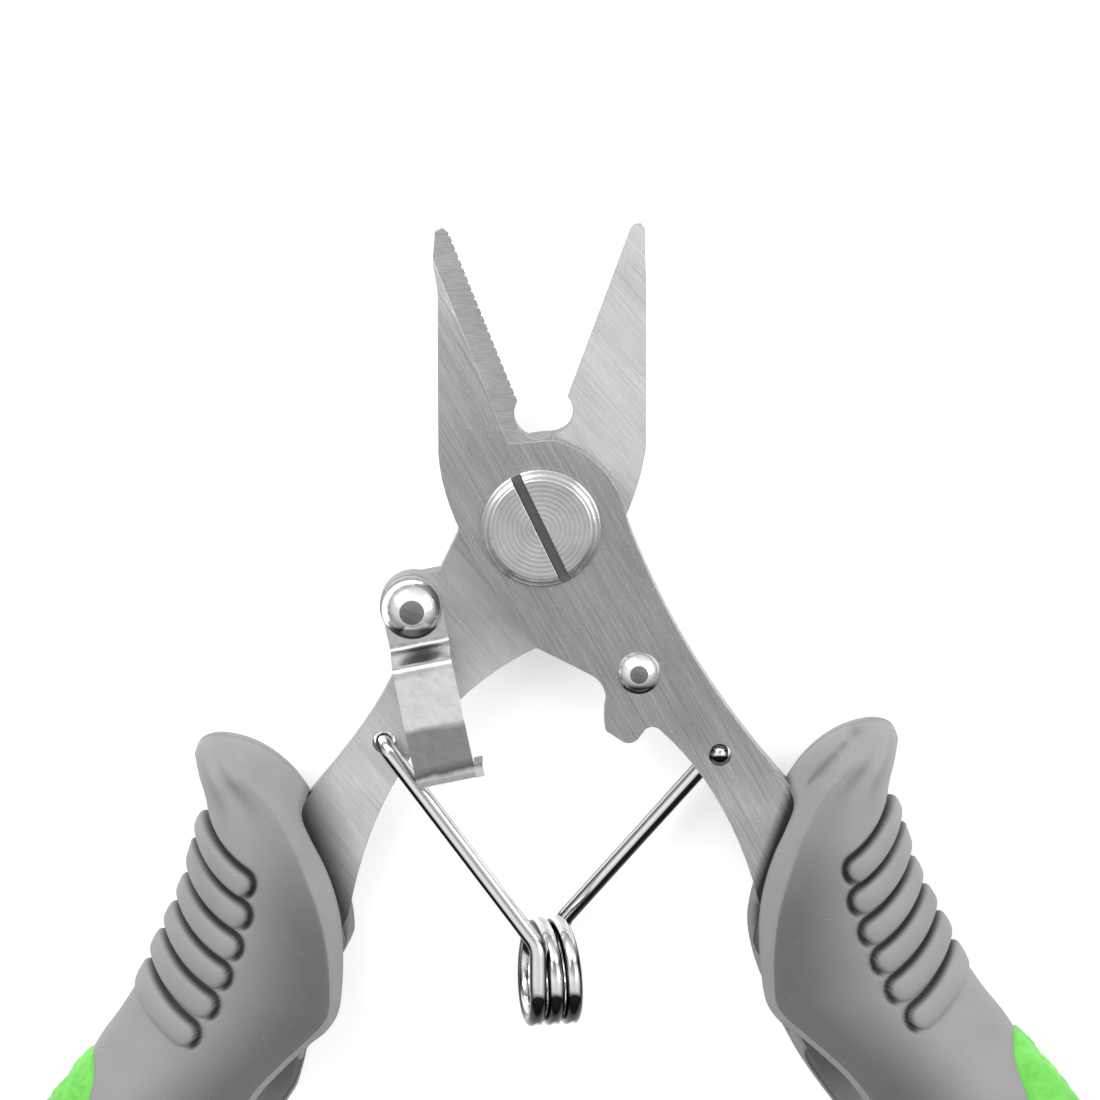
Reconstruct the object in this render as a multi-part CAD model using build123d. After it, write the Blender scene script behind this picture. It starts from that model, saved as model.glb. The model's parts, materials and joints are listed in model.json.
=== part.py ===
"""Fishing pliers: two crossed steel levers with shearing jaws, moulded grips,
a swinging keeper latch and a wire return spring, standing open and lying flat.

Built about the pivot: X to the right, Y towards the jaw tips, Z up through the
two plates, which meet at z = 0. The finished set is then moved so that the
origin is the middle of the footprint, on the surface the grips lie on.
"""
from build123d import *
import math
import os

os.makedirs("parts", exist_ok=True)

# ---- driving dimensions, mm ----
PLATE = 2.5                 # thickness of each lever
RUN = 0.02                  # half of the running gap between the two plates
GRIP_HALF = 7.0             # half of the grips' thickness
GRIP_SPREAD = 2.7           # degrees that the right grip stands wider than the left
CORE_HALF = 5.0             # half of the hard core's thickness
CORE_INSET = 0.8            # rubber between the core and the finger side of the rear half
INLAY_HALF = 6.4            # half of the inlay's thickness

PIVOT_SHANK_R = 2.8
PIVOT_HEAD_R = 6.27
PIVOT_TOP_R = 5.25
PIVOT_HEAD_H = 1.3
PIVOT_HEAD_EDGE = 0.5       # height of the head's straight edge under its bevel
PIVOT_FIT = 0.05            # radial running clearance of the front lever
SLOT_W = 1.05
SLOT_DEPTH = 0.8
SLOT_TURN = 25.5            # degrees that the slot leans from Y
WASHER_R = 4.8
WASHER_T = 0.4
NUT_FLATS = 8.0
NUT_T = 1.8

TOOTH_COUNT = 21
TOOTH_DEPTH = 0.2
EDGE_T = 0.4                # steel left at a cutting edge
BEVEL_W = 2.44              # width of the ground bevel behind a cutting edge

LATCH_X, LATCH_Y = -13.55, -9.1
LATCH_LEAN = 11.5           # degrees that the strap leans from -Y
STRAP_W = 6.3
STRAP_T = 0.85
STRAP_LIFT = 0.05           # gap between the strap and the rear lever
STRAP_CREST = 3.9           # underside of the strap where it stands highest
STRAP_END_Z = 3.15          # underside of the strap just before its turned-down end
STRAP_END = 18.4            # rivet to the strap's free end
STRAP_LIP = 0.6             # length of the turned-down end
STRAP_LIP_DROP = 0.2
STRAP_BEND = 0.9
HOOK_START = 17.0
HOOK_T = 0.9
HOOK_LOW = 0.5
LATCH_RIVET_R = 1.3
LATCH_DOME_R = 3.2
LATCH_DOME_H = 1.9
LATCH_FLAT_R = 1.3          # flat left by the riveting on top of the dome
LATCH_TAIL_R = 2.3
LATCH_TAIL_H = 0.9
LATCH_WASHER_R = 2.6
LATCH_WASHER_T = 0.5
LATCH_FIT = 0.05

STOP_X, STOP_Y = 10.29, -15.57
STOP_RIVET_R = 1.2
STOP_DOME_R = 2.3
STOP_DOME_H = 1.2
STOP_FLAT_R = 0.95
STOP_TAIL_R = 2.1
STOP_TAIL_H = 0.8
STOP_COLLAR_R = 3.75

WIRE_R = 0.9
COIL_R = 5.0                # mean radius of the coil
COIL_PITCH = 1.95
COIL_TURNS = 2.5
COIL_YAW = 13.0             # degrees that the coil's axis is turned about Y
ARM_LEAD = 4.1              # straight wire between the coil and each arm's lower bend
COIL_X, COIL_Y = 0.95, -48.6
EYE_R = 1.2
LEFT_EYE = (-16.56, -23.58)
RIGHT_EYE = (18.84, -24.42)
EYE_BEND = 1.6
ARM_OVER = 1.15             # height of an arm's middle where it leaves its eye

HOLLOW_X, HOLLOW_Y = 13.6, -57.0  # middle of the round hollow that takes the coil when shut
HOLLOW_R = 13.4


def disc(radius, low, high, x=0.0, y=0.0):
    """A round slab from z = low to z = high."""
    return Pos(x, y, low) * extrude(Circle(radius), high - low)


def slab(edges, low, high):
    """The face inside a closed run of edges, from z = low to z = high."""
    return Pos(0, 0, low) * extrude(make_face(edges), high - low)


def dome(radius, height, base, x, y, flat=0.0):
    """A round rivet head, flat side down at z = base, with a flat of that radius on its top."""
    ball_r = (radius**2 + height**2) / (2 * height)
    lost = ball_r - math.sqrt(ball_r**2 - flat**2)
    cap = Pos(x, y, base + height - ball_r) * Sphere(ball_r)
    return cap & disc(radius, base, base + height - lost, x, y)


def mirrored(points):
    return [(-x, y) for x, y in points]


def spread(points):
    """Points of the right handle, turned out about the pivot by GRIP_SPREAD."""
    return [Vector(*p).rotate(Axis.Z, GRIP_SPREAD) for p in points]


# ---- levers ----
FRONT_TIP = [(-9.56, 30.75), (-10.25, 31.35), (-11.04, 31.05), (-11.25, 28.05), (-10.76, 25.0)]
FRONT_HEEL = (-2.48, 13.05)
REAR_TIP = [(9.27, 31.16), (9.71, 31.66), (10.41, 31.66), (10.82, 31.06), (10.97, 25.0)]
REAR_HEEL = (2.79, 13.46)
JAW_BACK_END = 7.9          # height where a jaw's straight back starts to curve
FRONT_NECK = (23.47, -42.4)  # where each lever's finger-side edge goes into its grip
REAR_NECK = (-20.4, -42.4)
TANG = [(22.8, -48.0), (28.0, -57.0), (37.0, -69.5), (46.0, -84.0),
        (50.0, -81.0), (44.0, -65.0), (35.5, -49.0)]


def toothed(heel, tip):
    """The serrated edge from heel to tip: shallow notches cut square to the edge."""
    edge = Vector(*tip) - Vector(*heel)
    step = edge / TOOTH_COUNT
    inward = edge.normalized().rotate(Axis.Z, 90)
    points = []
    for i in range(TOOTH_COUNT):
        crest = Vector(*heel) + step * i
        points += [crest, crest + step * 0.62, crest + step * 0.8 + inward * TOOTH_DEPTH]
    points.append(Vector(*tip))
    return points


def bevel_cutter(heel, tip, side, turn_x):
    """What grinding takes off a jaw above z = EDGE_T, along its edge and round its notch.

    side is -1 for the left jaw and +1 for the right; turn_x is where the bevel
    line leaves the edge's direction and runs across to the notch.
    """
    run = (Vector(*tip) - Vector(*heel)).normalized()
    beyond = Vector(*tip) + run * 6
    corner = Vector(*heel) - run * 1.72
    across = Vector(turn_x, corner.Y + 0.09 * abs(turn_x - corner.X))
    far = Vector(-side * 30, 40)
    outline = Polyline(beyond, corner, across, Vector(-side * 30, across.Y), far, close=True)
    slope = math.degrees(math.atan2(BEVEL_W, PLATE - EDGE_T))
    return Pos(0, 0, EDGE_T) * extrude(make_face(outline), PLATE, taper=-slope)


def front_lever():
    """Upper plate: serrated left jaw, hub, catch nose and right tang."""
    teeth = toothed(FRONT_HEEL, FRONT_TIP[0])
    back_low = (-10.72, JAW_BACK_END)
    outline = Polyline(*teeth, *FRONT_TIP[1:], back_low)
    outline += Spline(back_low, (-9.74, 2.89), (-6.38, -4.22), (-0.5, -12.89))
    outline += Polyline((-0.5, -12.89), (0.4, -13.3), (5.15, -15.76))
    outline += ThreePointArc((5.15, -15.76), (6.4, -16.9), (6.81, -18.53))
    outline += ThreePointArc((6.81, -18.53), (6.62, -20.2), (6.81, -21.81))
    outline += Line((6.81, -21.81), (8.52, -22.94))
    outline += ThreePointArc((8.52, -22.94), (9.57, -23.1), (10.35, -22.5))
    outline += Line((10.35, -22.5), (11.0, -21.65))
    outline += ThreePointArc((11.0, -21.65), (11.67, -21.4), (12.52, -21.71))
    outline += Spline((12.52, -21.71), (16.75, -26.44), (21.01, -34.19), FRONT_NECK)
    outline += Polyline(FRONT_NECK, *spread(TANG), (28.47, -30.16))
    outline += Spline((28.47, -30.16), (18.82, -18.22), (12.47, -7.38), (9.06, 0.56))
    outline += ThreePointArc((9.06, 0.56), (6.4, 6.2), (1.25, 9.25))
    outline += Line((1.25, 9.25), (1.15, 9.85))
    outline += ThreePointArc((1.15, 9.85), (-2.19, 10.22), FRONT_HEEL)
    plate = slab(outline, RUN, PLATE)
    plate -= disc(PIVOT_SHANK_R + PIVOT_FIT, -1, PLATE + 1)
    plate -= disc(STOP_RIVET_R, -1, PLATE + 1, STOP_X, STOP_Y)
    plate -= disc(EYE_R, -1, PLATE + 1, *RIGHT_EYE)
    return plate - bevel_cutter(FRONT_HEEL, FRONT_TIP[0], -1, 0.6)


def rear_lever():
    """Lower plate: plain right jaw, hub, latch boss and left tang."""
    back_low = (10.97, JAW_BACK_END)
    outline = Polyline(REAR_HEEL, *REAR_TIP, back_low)
    outline += Spline(back_low, (9.74, 2.89), (6.38, -4.22), (0.8, -12.2))
    outline += Line((0.8, -12.2), (-0.5, -13.44))
    outline += Spline((-0.5, -13.44), (-6.43, -17.14), (-11.8, -22.6), (-16.53, -29.94),
                      (-18.9, -36.0), REAR_NECK)
    outline += Polyline(REAR_NECK, *mirrored(TANG), (-25.71, -30.77))
    outline += Spline((-25.71, -30.77), (-21.24, -25.28), (-16.98, -19.09), (-15.26, -15.6))
    outline += Line((-15.26, -15.6), (-16.4, -10.9))
    outline += ThreePointArc((-16.4, -10.9), (-16.3, -6.9), (-12.71, -5.5))
    outline += Line((-12.71, -5.5), (-10.6, -5.1))
    outline += Line((-10.6, -5.1), (-8.69, -1.06))
    outline += ThreePointArc((-8.69, -1.06), (-6.0, 6.4), (0.9, 9.4))
    outline += ThreePointArc((0.9, 9.4), (3.25, 11.2), REAR_HEEL)
    plate = slab(outline, -PLATE, -RUN)
    plate -= disc(PIVOT_SHANK_R, -PLATE - 1, 1)
    plate -= disc(LATCH_RIVET_R, -PLATE - 1, 1, LATCH_X, LATCH_Y)
    plate -= disc(EYE_R, -PLATE - 1, 1, *LEFT_EYE)
    ground = bevel_cutter(REAR_HEEL, REAR_TIP[0], 1, -0.6)
    return plate - ground.mirror(Plane.XY)


# ---- pivot ----
def pivot_screw():
    """Wide slotted head over the front lever, shank down to the nut."""
    base = PLATE + 0.03
    screw = disc(PIVOT_SHANK_R, -PLATE - WASHER_T - NUT_T, base)
    screw += disc(PIVOT_HEAD_R, base, base + PIVOT_HEAD_EDGE)
    bevel_h = PIVOT_HEAD_H - PIVOT_HEAD_EDGE
    bevel = Cone(PIVOT_HEAD_R, PIVOT_TOP_R, bevel_h)
    screw += Pos(0, 0, base + PIVOT_HEAD_EDGE + bevel_h / 2) * bevel
    slot = Box(SLOT_W, 3 * PIVOT_HEAD_R, SLOT_DEPTH)
    slot = Pos(0, 0, base + PIVOT_HEAD_H - SLOT_DEPTH / 2) * Rot(0, 0, SLOT_TURN) * slot
    return screw - slot


def pivot_washer():
    top = -PLATE
    return disc(WASHER_R, top - WASHER_T, top) - disc(PIVOT_SHANK_R, top - 2, top + 1)


def pivot_nut():
    top = -PLATE - WASHER_T
    hexagon = RegularPolygon(NUT_FLATS / 2, 6, major_radius=False)
    body = Pos(0, 0, top - NUT_T) * extrude(hexagon, NUT_T)
    return body - disc(PIVOT_SHANK_R, top - NUT_T - 1, top + 1)


# ---- latch ----
def along_strap(piece):
    """Turn a piece drawn down -Y from the rivet to where the strap lies."""
    return Pos(LATCH_X, LATCH_Y, 0) * Rot(0, 0, LATCH_LEAN) * piece


def latch_strap():
    """Sprung strap: flat at the rivet, stepped up over the front lever, hooked at its end."""
    low = STRAP_LIFT
    underside = [(-STRAP_W, low), (4.1, low), (5.2, STRAP_CREST), (11.9, STRAP_CREST),
                 (STRAP_END - STRAP_LIP, STRAP_END_Z), (STRAP_END, STRAP_END_Z - STRAP_LIP_DROP)]
    top = [(s, z + STRAP_T) for s, z in underside]
    side = FilletPolyline(*underside, radius=STRAP_BEND)
    side += FilletPolyline(*top, radius=STRAP_BEND)
    side += Line(underside[0], top[0])
    side += Line(underside[-1], top[-1])
    side_face = Plane(origin=(STRAP_W, 0, 0), x_dir=(0, -1, 0), z_dir=(-1, 0, 0)) * make_face(side)
    ribbon = extrude(side_face, 2 * STRAP_W, dir=(-1, 0, 0))
    round_end = Pos(0, 0.35) * Circle(STRAP_W / 2)
    body = Pos(0, -STRAP_END / 2 + 0.175) * Rectangle(STRAP_W, STRAP_END + 0.35)
    plan = Pos(0, 0, -1) * extrude(round_end + body, STRAP_CREST + STRAP_T + 2)
    strap = ribbon & plan
    strap -= disc(LATCH_RIVET_R + LATCH_FIT, -1, STRAP_T + 1)
    hook_run = STRAP_END - HOOK_START
    hook_top = STRAP_END_Z + STRAP_T
    hook = Pos(STRAP_W / 2 + HOOK_T / 2, -HOOK_START - hook_run / 2, (hook_top + HOOK_LOW) / 2)
    hook *= Box(HOOK_T, hook_run, hook_top - HOOK_LOW)
    return along_strap(strap + hook)


def latch_rivet():
    base = STRAP_LIFT + STRAP_T + 0.05
    rivet = disc(LATCH_RIVET_R, -PLATE - LATCH_WASHER_T, base, LATCH_X, LATCH_Y)
    rivet += dome(LATCH_DOME_R, LATCH_DOME_H, base, LATCH_X, LATCH_Y, LATCH_FLAT_R)
    tail = dome(LATCH_TAIL_R, LATCH_TAIL_H, 0, 0, 0)
    return rivet + Pos(LATCH_X, LATCH_Y, -PLATE - LATCH_WASHER_T) * Rot(180, 0, 0) * tail


def latch_washer():
    top = -PLATE
    ring = disc(LATCH_WASHER_R, top - LATCH_WASHER_T, top, LATCH_X, LATCH_Y)
    return ring - disc(LATCH_RIVET_R, top - 1, top + 1, LATCH_X, LATCH_Y)


# ---- closing stop ----
def stop_rivet():
    """Domed rivet in the front lever, headed over behind the collar that it holds."""
    low = -PLATE
    rivet = disc(STOP_RIVET_R, low, PLATE, STOP_X, STOP_Y)
    rivet += dome(STOP_DOME_R, STOP_DOME_H, PLATE, STOP_X, STOP_Y, STOP_FLAT_R)
    tail = dome(STOP_TAIL_R, STOP_TAIL_H, 0, 0, 0)
    return rivet + Pos(STOP_X, STOP_Y, low) * Rot(180, 0, 0) * tail


def stop_collar():
    """Round stop behind the front lever, in the plane of the rear lever."""
    ring = disc(STOP_COLLAR_R, -PLATE, RUN, STOP_X, STOP_Y)
    return ring - disc(STOP_RIVET_R, -PLATE - 1, 1, STOP_X, STOP_Y)


# ---- return spring ----
COIL_HALF = COIL_PITCH * COIL_TURNS / 2


def in_coil(x, y, z):
    """Where a point lies that is given from the coil's middle, X along its axis, Y up."""
    turn = math.radians(COIL_YAW)
    return (COIL_X + x * math.cos(turn) + z * math.sin(turn), COIL_Y + y,
            z * math.cos(turn) - x * math.sin(turn))


def bent_wire(points, radius_of_bend):
    path = FilletPolyline(*points, radius=radius_of_bend)
    section = Plane(origin=path @ 0, z_dir=path % 0) * Circle(WIRE_R)
    return sweep(section, path=path)


def spring_left_arm():
    """From the rear lever's eye, over its front face, down to the front of the coil."""
    return bent_wire([(*LEFT_EYE, -PLATE - 1.2), (*LEFT_EYE, ARM_OVER),
                      in_coil(-COIL_HALF, ARM_LEAD, COIL_R),
                      in_coil(-COIL_HALF, 0, COIL_R)], EYE_BEND)


def spring_right_arm():
    """From the front lever's eye, behind its rear face, down to the back of the coil."""
    return bent_wire([(*RIGHT_EYE, PLATE - 0.3), (*RIGHT_EYE, -ARM_OVER),
                      in_coil(COIL_HALF, ARM_LEAD, -COIL_R),
                      in_coil(COIL_HALF, 0, -COIL_R)], EYE_BEND)


def spring_coil():
    """Turns wound about X, from the left arm at the front to the right arm at the back."""
    helix = Helix(COIL_PITCH, COIL_PITCH * COIL_TURNS, COIL_R)
    section = Plane(origin=helix @ 0, z_dir=helix % 0) * Circle(WIRE_R)
    coil = sweep(section, path=helix)
    turn = math.radians(COIL_YAW)
    forward = (math.sin(turn), 0, math.cos(turn))
    axis = (math.cos(turn), 0, -math.sin(turn))
    upright = Plane(origin=in_coil(-COIL_HALF, 0, 0), x_dir=forward, z_dir=axis)
    return upright.location * coil - spring_left_arm() - spring_right_arm()


# ---- grips, drawn for a right-hand handle ----
HORN = [(24.4, -28.6), (28.5, -24.6), (32.7, -22.75), (35.3, -22.6), (36.7, -24.7), (35.5, -29.8)]
RIB_START = (35.5, -29.8)
RIB_SWELLS = [(37.3, -34.5), (39.9, -42.3), (42.9, -48.6)]
OUTER_BACK = [(42.9, -48.6), (46.7, -55.1), (53.8, -65.0), (59.0, -78.0), (58.4, -90.5), (54.5, -98.0)]
TAIL_TIP = (51.2, -99.8)
INNER_BACK = [(48.0, -97.0), (38.5, -81.0), (27.0, -63.9), (22.0, -54.0), (20.2, -46.3), (20.2, -41.4)]
MOUTH = [(20.2, -41.4), (22.4, -36.6), (25.3, -31.0)]
FRONT_CUT = [(48.0, -97.0), (41.0, -79.0), (30.3, -61.2), (24.6, -55.2), (21.3, -51.6), (20.9, -42.9)]
CORE_OUTER = [(22.2, -40.2), (33.0, -50.0), (42.0, -63.0), (49.0, -78.0), (49.5, -92.0)]
INLAY_EDGE = [(47.2, -56.9), (49.3, -62.0), (52.0, -72.0), (52.4, -82.0), (51.0, -91.0)]
INLAY_OUTER = [(47.2, -56.9), (53.9, -65.0), (59.2, -78.0), (58.4, -90.0), (54.3, -97.0)]


def grip_outline(inner):
    """Closed outline of a grip half, whose finger side is the given run of points."""
    outline = Spline(*HORN)
    outline += Spline(RIB_START, *RIB_SWELLS)
    outline += Spline(*OUTER_BACK)
    outline += ThreePointArc(OUTER_BACK[-1], TAIL_TIP, inner[0])
    outline += Spline(*inner)
    mouth_top = MOUTH[-1]
    outline += Polyline(inner[-1], MOUTH[1], mouth_top, HORN[0])
    return outline


def coil_hollow():
    """Round hollow in a handle's finger side, open at the top, where the coil lies when shut."""
    return disc(HOLLOW_R, -COIL_R - WIRE_R - 0.6, 2 * GRIP_HALF, HOLLOW_X, HOLLOW_Y)


def core_blank():
    """Hard inner core, before its lever's slot and the coil's hollow are cut."""
    inner = [(x + CORE_INSET, y) for x, y in INNER_BACK[1:-1]]
    outline = Spline(*inner) + Line(inner[-1], CORE_OUTER[0])
    outline += Spline(*CORE_OUTER)
    outline += Line(CORE_OUTER[-1], inner[0])
    return slab(outline, -CORE_HALF, CORE_HALF)


def inlay_blank():
    outline = Spline(*INLAY_EDGE) + Line(INLAY_EDGE[-1], INLAY_OUTER[-1]) + Spline(*INLAY_OUTER)
    return slab(outline, -INLAY_HALF, INLAY_HALF)


def handle(lever, place):
    """Core, two grip halves and inlay of one handle, fitted round its lever's tang."""
    blank = place(core_blank())
    inlay = place(inlay_blank())
    hollow = place(coil_hollow())
    front = place(slab(grip_outline(FRONT_CUT), RUN, GRIP_HALF)) - blank - inlay - lever
    rear = place(slab(grip_outline(INNER_BACK), -GRIP_HALF, -RUN)) - blank - inlay - lever - hollow
    core = blank - lever - hollow
    return core, front, rear, inlay


def right_side(piece):
    return Rot(0, 0, GRIP_SPREAD) * piece


def left_side(piece):
    return piece.mirror(Plane.YZ)


def build():
    """Every sub-part by name, about the pivot."""
    front = front_lever()
    rear = rear_lever()
    parts = {
        "front_lever": front,
        "rear_lever": rear,
        "pivot_screw": pivot_screw(),
        "pivot_washer": pivot_washer(),
        "pivot_nut": pivot_nut(),
        "latch_strap": latch_strap(),
        "latch_rivet": latch_rivet(),
        "latch_washer": latch_washer(),
        "stop_rivet": stop_rivet(),
        "stop_collar": stop_collar(),
        "spring_left_arm": spring_left_arm(),
        "spring_coil": spring_coil(),
        "spring_right_arm": spring_right_arm(),
    }
    for side, lever, place in (("right", front, right_side), ("left", rear, left_side)):
        names = ("handle_core", "grip_front", "grip_rear", "inlay")
        for name, piece in zip(names, handle(lever, place)):
            parts[f"{side}_{name}"] = piece
    return parts


def main():
    parts = build()
    boxes = [piece.bounding_box() for piece in parts.values()]
    low = Vector(*(min(getattr(b.min, axis) for b in boxes) for axis in "XYZ"))
    high = Vector(*(max(getattr(b.max, axis) for b in boxes) for axis in "XYZ"))
    middle = (low + high) / 2
    shift = Pos(-middle.X, -middle.Y, -low.Z)
    for name, piece in parts.items():
        placed = shift * piece
        placed.label = name
        export_step(placed, f"parts/{name}.step")
    print("pivot at", shift.position)
    print("size", high - low)


main()
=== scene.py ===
"""Looks of the fishing pliers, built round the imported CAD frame.

Lengths in this file are millimetres about the jaw pivot, as on the tool itself: X to the
right, Y towards the jaw tips, Z up. row() turns them into the frame's metres.
A handle's shapes are drawn for the right-hand side and mirrored for the left.
"""
import json
import math

import bmesh
import bpy
import numpy as np
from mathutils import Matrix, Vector, noise


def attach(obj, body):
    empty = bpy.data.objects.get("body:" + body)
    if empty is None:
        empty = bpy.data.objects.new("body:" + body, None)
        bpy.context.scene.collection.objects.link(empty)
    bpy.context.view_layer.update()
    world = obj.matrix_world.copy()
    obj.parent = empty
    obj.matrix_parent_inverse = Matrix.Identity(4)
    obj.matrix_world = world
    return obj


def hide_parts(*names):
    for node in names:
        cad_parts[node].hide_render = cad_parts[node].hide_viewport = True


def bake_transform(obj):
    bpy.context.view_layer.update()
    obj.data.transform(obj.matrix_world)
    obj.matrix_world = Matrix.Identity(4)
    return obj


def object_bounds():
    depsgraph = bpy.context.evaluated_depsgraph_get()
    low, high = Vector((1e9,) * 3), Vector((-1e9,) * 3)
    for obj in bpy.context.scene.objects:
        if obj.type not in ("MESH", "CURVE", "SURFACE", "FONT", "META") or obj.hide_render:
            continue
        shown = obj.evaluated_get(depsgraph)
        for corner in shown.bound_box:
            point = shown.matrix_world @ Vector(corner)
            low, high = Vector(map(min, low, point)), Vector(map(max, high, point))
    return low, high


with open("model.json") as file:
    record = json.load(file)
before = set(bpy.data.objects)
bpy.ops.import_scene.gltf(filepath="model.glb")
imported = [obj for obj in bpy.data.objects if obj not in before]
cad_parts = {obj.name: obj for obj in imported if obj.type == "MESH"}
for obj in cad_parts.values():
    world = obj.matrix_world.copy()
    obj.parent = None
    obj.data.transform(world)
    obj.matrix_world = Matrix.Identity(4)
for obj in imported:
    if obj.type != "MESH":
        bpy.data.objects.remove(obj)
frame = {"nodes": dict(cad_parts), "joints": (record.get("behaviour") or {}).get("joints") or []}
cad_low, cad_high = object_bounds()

MM = 0.001
JOINTS = {joint["name"]: joint for joint in frame["joints"]}
PIVOT = np.array(JOINTS["jaw_pivot"]["pos_m"])
FACE_Z = 7.0                # half of the grips' thickness
GRIP_SPREAD = 2.7           # degrees that the right grip stands wider than the left


def row(points):
    """Points about the pivot, in millimetres, as points of the row frame in metres."""
    return np.asarray(points, float) * MM + PIVOT


# ---- small tools ----
def smoothstep(low, high, value):
    share = np.clip((np.asarray(value, float) - low) / (high - low), 0, 1)
    return share * share * (3 - 2 * share)


def rail(points, places):
    """A Catmull-Rom curve through evenly numbered points, read at fractional places."""
    pts = np.asarray(points, float)
    pts = np.vstack([2 * pts[0] - pts[1], pts, 2 * pts[-1] - pts[-2]])
    place = np.clip(np.asarray(places, float), 0, len(points) - 1 - 1e-9)
    i = place.astype(int)
    f = (place - i)[:, None]
    a, b, c, d = pts[i], pts[i + 1], pts[i + 2], pts[i + 3]
    return 0.5 * (2 * b + (c - a) * f + (2 * a - 5 * b + 4 * c - d) * f**2
                  + (3 * b - a - 3 * c + d) * f**3)


def polyline_at(points, shares):
    """Points at these shares of a Catmull-Rom curve's length."""
    fine = rail(points, np.linspace(0, len(points) - 1, 40 * len(points)))
    run = np.r_[0, np.cumsum(np.linalg.norm(np.diff(fine, axis=0), axis=1))]
    want = np.asarray(shares, float) * run[-1]
    return np.stack([np.interp(want, run, fine[:, i]) for i in range(fine.shape[1])], axis=1)


def add_piece(name, verts, faces, body, stands_for=(), smooth=True):
    mesh = bpy.data.meshes.new(name)
    mesh.from_pydata([tuple(p) for p in row(verts)], [], [tuple(f) for f in faces])
    mesh.validate()
    mesh.update()
    piece = bpy.data.objects.new(name, mesh)
    bpy.context.scene.collection.objects.link(piece)
    mesh.polygons.foreach_set("use_smooth", [smooth] * len(mesh.polygons))
    if body:
        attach(piece, body)
    if stands_for:
        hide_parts(*stands_for)
    return piece


def outward(piece):
    """Make every face's normal point out of a closed mesh."""
    bm = bmesh.new()
    bm.from_mesh(piece.data)
    bmesh.ops.recalc_face_normals(bm, faces=bm.faces)
    bm.to_mesh(piece.data)
    bm.free()


CUTTING_EDGE = np.array([(-2.48, 13.05), (-9.56, 30.75)])   # heel and tip of the serrated edge
TEETH_REACH = 0.6           # how far the serrations lie from that edge
SIDE_TILT, BEVEL_TILT, FLAT_TILT = 0.3, 0.95, 0.99   # how far a face's normal leans up
JAW_FROM = 8                # the ground bevels lie above this height on the tool


def on_teeth(point):
    """Whether a point lies among the serrations of the front jaw."""
    heel, tip = CUTTING_EDGE
    run = (tip - heel) / np.linalg.norm(tip - heel)
    off = np.array(point[:2]) - heel
    gap = abs(run[0] * off[1] - run[1] * off[0])
    return gap < TEETH_REACH and abs(point[2]) < TEETH_REACH


def finish_edges(name, node, body, width, materials, angle=28):
    """A copy of a CAD node with its machined edges slightly rounded, in the node's place.

    materials are for the faces, the sides, the ground bevel (or a rivet's flat top) and the
    rounded edges; the last three may be None.
    """
    mesh = frame["nodes"][node].data.copy()
    mesh.name = name
    mesh.materials.clear()
    for material in materials:
        if material:
            mesh.materials.append(material)
    bm = bmesh.new()
    bm.from_mesh(mesh)
    bmesh.ops.remove_doubles(bm, verts=bm.verts, dist=2e-6)
    bmesh.ops.dissolve_limit(bm, angle_limit=math.radians(1.0), verts=bm.verts, edges=bm.edges)
    weight = bm.edges.layers.float.new("bevel_weight_edge")
    for face in bm.faces:
        face.smooth = True
        face.material_index = 0
        tilt = abs(face.normal.z)
        if materials[1] and tilt < SIDE_TILT:
            face.material_index = 1
        where = (np.array(face.calc_center_median()) - PIVOT) / MM
        ground = SIDE_TILT < tilt < BEVEL_TILT and where[1] > JAW_FROM
        third = tilt > FLAT_TILT if "rivet" in node else ground
        if materials[2] and third:
            face.material_index = len([m for m in materials[:2] if m])
    for edge in bm.edges:
        tilts = [abs(face.normal.z) for face in edge.link_faces]
        in_bevel = node == "front_lever" and all(SIDE_TILT < tilt < BEVEL_TILT for tilt in tilts)
        if len(tilts) == 2 and edge.calc_face_angle(0) > math.radians(angle):
            middle = (np.array((edge.verts[0].co + edge.verts[1].co) / 2) - PIVOT) / MM
            edge.smooth = False
            kept_sharp = in_bevel or (node == "front_lever" and on_teeth(middle))
            edge[weight] = 0.0 if kept_sharp else 1.0
    bm.to_mesh(mesh)
    bm.free()
    piece = bpy.data.objects.new(name, mesh)
    bpy.context.scene.collection.objects.link(piece)
    bevel = piece.modifiers.new("edges", "BEVEL")
    bevel.width = width * MM
    bevel.segments = 2
    bevel.limit_method = "WEIGHT"
    bevel.harden_normals = True
    if materials[3]:
        bevel.material = len(mesh.materials) - 1
    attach(piece, body)
    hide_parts(node)
    return piece


# ---- handle outlines, right-hand side ----
# Matched stations down the handle: finger-side edge of the front half, crease of its face,
# and outer edge. The first lies on the horn's top and the last on the tail.
FRONT_EDGE = [(24.5, -28.6), (25.2, -30.6), (24.3, -33.0), (22.9, -35.8), (21.8, -38.8),
              (21.1, -42.0), (20.9, -45.5), (21.0, -48.8), (21.4, -51.6), (22.6, -53.5),
              (24.6, -55.2), (27.4, -57.9), (30.3, -61.2), (35.0, -68.6), (41.0, -79.0),
              (45.5, -89.5), (48.6, -97.0), (50.0, -98.6)]
CREASE = [(34.1, -22.6), (31.5, -26.2), (28.4, -29.4), (26.3, -33.2), (24.8, -37.0),
          (23.5, -40.8), (22.7, -44.6), (22.4, -48.2), (22.5, -51.3), (23.4, -53.0),
          (25.2, -54.8), (27.9, -57.4), (30.9, -60.8), (35.6, -68.2), (41.7, -78.6),
          (46.2, -89.2), (49.0, -97.1), (50.4, -98.9)]
OUTER_EDGE = [(36.7, -24.7), (36.2, -26.9), (35.5, -29.9), (36.4, -33.0), (37.2, -36.3),
              (38.2, -39.5), (39.5, -42.4), (41.1, -45.8), (42.5, -48.9), (44.6, -52.4),
              (46.7, -55.3), (48.3, -57.9), (50.6, -60.9), (55.0, -67.4), (59.0, -78.0),
              (58.6, -89.5), (54.5, -98.0), (53.0, -99.3)]
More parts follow.
